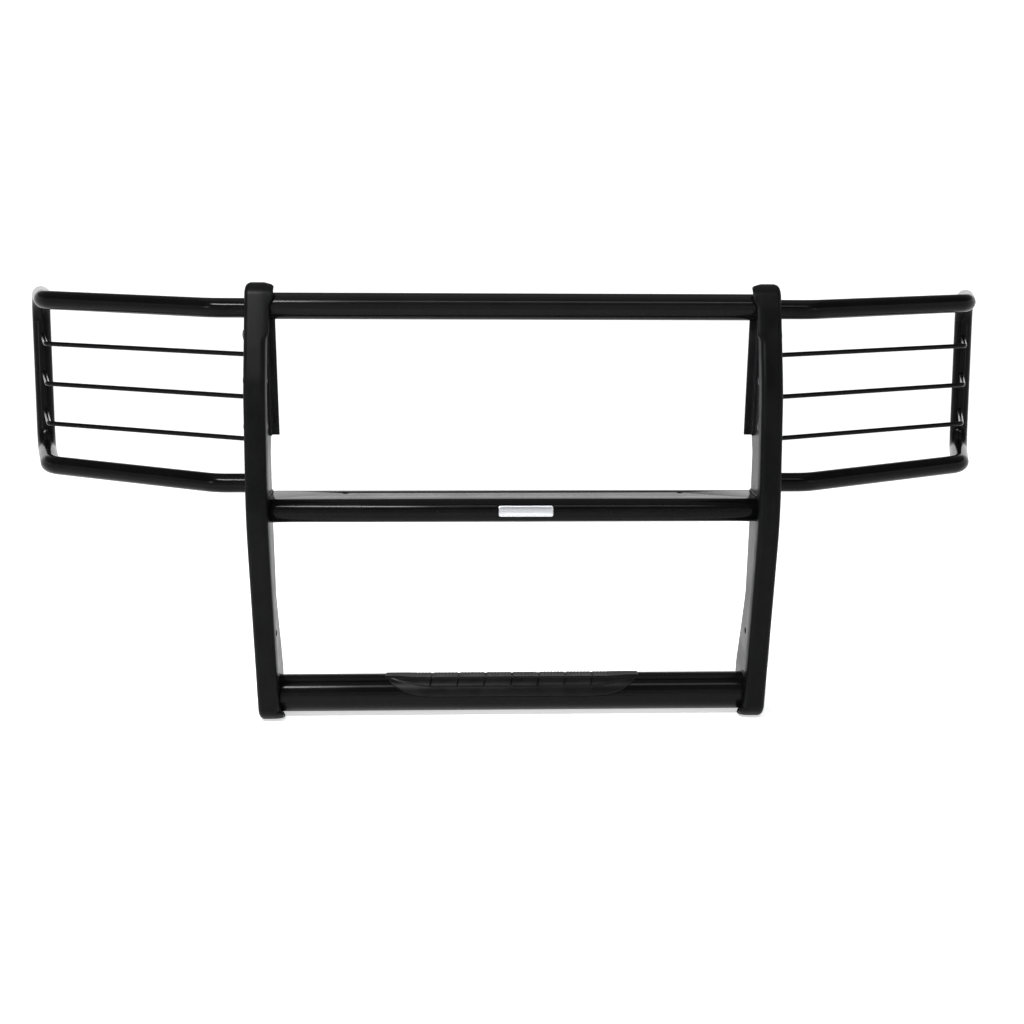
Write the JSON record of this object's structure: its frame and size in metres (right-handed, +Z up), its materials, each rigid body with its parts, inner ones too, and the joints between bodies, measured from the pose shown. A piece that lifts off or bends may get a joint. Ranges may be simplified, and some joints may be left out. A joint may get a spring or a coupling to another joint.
{
  "type": "grille guard",
  "caption": "Black vehicle front grille guard: channel uprights with moulded covers, cross tubes, a drilled light bar, a step tube with a tread pad and bent wrap-around wings with rods.",
  "frame": {"origin": "middle of the upper bracket bolt line, which runs across both uprights", "axes": "+X across the vehicle to the right-hand side of the picture, +Y from the front of the guard to the vehicle, +Z up"},
  "size_m": [2.0868, 0.5061, 0.87],
  "materials": {
    "powder_coat": "satin black powder coat",
    "gloss_tube": "gloss black powder coat",
    "cover_rubber": "matte moulded rubber",
    "pad_rubber": "matte textured",
    "badge_metal": "brushed",
    "zinc_fasteners": "black zinc"
  },
  "bodies": {
    "root": {"upright_channel_left": "powder_coat", "upright_channel_right": "powder_coat", "upright_cover_left": "cover_rubber", "upright_cover_right": "cover_rubber", "cover_studs": "zinc_fasteners", "cover_nuts": "zinc_fasteners", "top_cross_tube": "gloss_tube", "light_bar": "gloss_tube", "light_bar_badge": "badge_metal", "step_tube": "gloss_tube", "step_pad": "pad_rubber", "upper_angle_left": "powder_coat", "upper_angle_right": "powder_coat", "wing_plate_left": "powder_coat", "wing_plate_right": "powder_coat", "wing_hoop_left": "gloss_tube", "wing_hoop_right": "gloss_tube", "wing_rod_upper_left": "gloss_tube", "wing_rod_middle_left": "gloss_tube", "wing_rod_lower_left": "gloss_tube", "wing_rod_upper_right": "gloss_tube", "wing_rod_middle_right": "gloss_tube", "wing_rod_lower_right": "gloss_tube", "wing_bolts": "zinc_fasteners", "wing_washers": "zinc_fasteners", "wing_nuts": "zinc_fasteners"}
  },
  "joints": []
}
